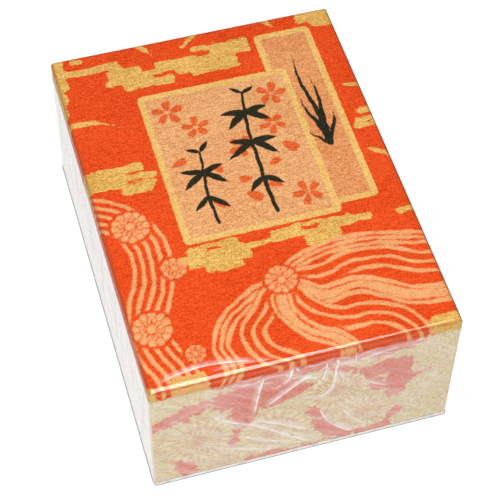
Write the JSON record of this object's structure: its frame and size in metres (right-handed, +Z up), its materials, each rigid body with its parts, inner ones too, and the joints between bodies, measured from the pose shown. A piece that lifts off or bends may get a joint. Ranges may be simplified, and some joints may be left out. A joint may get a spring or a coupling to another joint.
{
  "type": "karuta card deck",
  "caption": "Shrink-wrapped karuta card deck: rigid paper-covered box with a full-depth lid, a divider, banded stacks of cards and a stapled booklet that lift out one after the other.",
  "frame": {"origin": "middle of the underside of the film, on the surface the pack stands on", "axes": "+Z up, +Y along the long side towards the back, +X along the short side to the right"},
  "size_m": [0.1172, 0.1636, 0.0646],
  "materials": {
    "film": "clear shrink film",
    "lid_paper": "printed covering paper, orange red with gold",
    "tray_paper": "plain covering paper",
    "board": "solid grey board",
    "lining": "lining paper",
    "tape": "gummed paper tape",
    "card_reading": "card with a plain coloured back",
    "card_grabbing": "card with a plain coloured back",
    "band": "plain paper band",
    "cover": "booklet cover paper",
    "pages": "booklet pages",
    "wire": "bright wire"
  },
  "bodies": {
    "film_base": {"film_lower": "film"},
    "tray": {"tray_board": "board", "tray_wrap": "tray_paper", "tray_liner": "lining", "tray_stay_front_left": "tape", "tray_stay_front_right": "tape", "tray_stay_back_left": "tape", "tray_stay_back_right": "tape", "divider": "board"},
    "grabbing_left_stack": {"grabbing_left_packet_1": "card_grabbing", "grabbing_left_packet_2": "card_grabbing", "grabbing_left_packet_3": "card_grabbing", "grabbing_left_packet_4": "card_grabbing", "grabbing_left_packet_5": "card_grabbing", "grabbing_left_packet_6": "card_grabbing", "grabbing_left_packet_7": "card_grabbing", "grabbing_left_top_card": "card_grabbing", "grabbing_left_band": "band"},
    "grabbing_right_stack": {"grabbing_right_packet_1": "card_grabbing", "grabbing_right_packet_2": "card_grabbing", "grabbing_right_packet_3": "card_grabbing", "grabbing_right_packet_4": "card_grabbing", "grabbing_right_packet_5": "card_grabbing", "grabbing_right_packet_6": "card_grabbing", "grabbing_right_packet_7": "card_grabbing", "grabbing_right_top_card": "card_grabbing", "grabbing_right_band": "band"},
    "reading_left_stack": {"reading_left_packet_1": "card_reading", "reading_left_packet_2": "card_reading", "reading_left_packet_3": "card_reading", "reading_left_packet_4": "card_reading", "reading_left_packet_5": "card_reading", "reading_left_packet_6": "card_reading", "reading_left_packet_7": "card_reading", "reading_left_top_card": "card_reading", "reading_left_band": "band"},
    "reading_right_stack": {"reading_right_packet_1": "card_reading", "reading_right_packet_2": "card_reading", "reading_right_packet_3": "card_reading", "reading_right_packet_4": "card_reading", "reading_right_packet_5": "card_reading", "reading_right_packet_6": "card_reading", "reading_right_packet_7": "card_reading", "reading_right_top_card": "card_reading", "reading_right_band": "band"},
    "booklet": {"booklet_cover": "cover", "booklet_pages": "pages", "booklet_staple_front": "wire", "booklet_staple_back": "wire"},
    "lid": {"lid_board": "board", "lid_wrap": "lid_paper", "lid_liner": "lining", "lid_stay_front_left": "tape", "lid_stay_front_right": "tape", "lid_stay_back_left": "tape", "lid_stay_back_right": "tape"},
    "film_cover": {"film_upper": "film"}
  },
  "joints": [
    {"name": "box_lift", "type": "slide", "parent": "film_base", "child": "tray", "axis": [0, 0, 1], "range_m": [0, 0.04]},
    {"name": "reading_left_lift", "type": "slide", "parent": "tray", "child": "reading_left_stack", "axis": [0, 0, 1], "range_m": [0, 0.07]},
    {"name": "reading_right_lift", "type": "slide", "parent": "tray", "child": "reading_right_stack", "axis": [0, 0, 1], "range_m": [0, 0.07]},
    {"name": "grabbing_left_lift", "type": "slide", "parent": "tray", "child": "grabbing_left_stack", "axis": [0, 0, 1], "range_m": [0, 0.07]},
    {"name": "grabbing_right_lift", "type": "slide", "parent": "tray", "child": "grabbing_right_stack", "axis": [0, 0, 1], "range_m": [0, 0.07]},
    {"name": "booklet_lift", "type": "slide", "parent": "reading_left_stack", "child": "booklet", "axis": [0, 0, 1], "range_m": [0, 0.03]},
    {"name": "lid_lift", "type": "slide", "parent": "booklet", "child": "lid", "axis": [0, 0, 1], "range_m": [0, 0.075]},
    {"name": "film_lift", "type": "slide", "parent": "lid", "child": "film_cover", "axis": [0, 0, 1], "range_m": [0, 0.075]}
  ],
  "couplings": [
    {"joint": "reading_right_lift", "follows": "reading_left_lift", "ratio": 1},
    {"joint": "grabbing_left_lift", "follows": "reading_left_lift", "ratio": 1},
    {"joint": "grabbing_right_lift", "follows": "reading_left_lift", "ratio": 1}
  ]
}
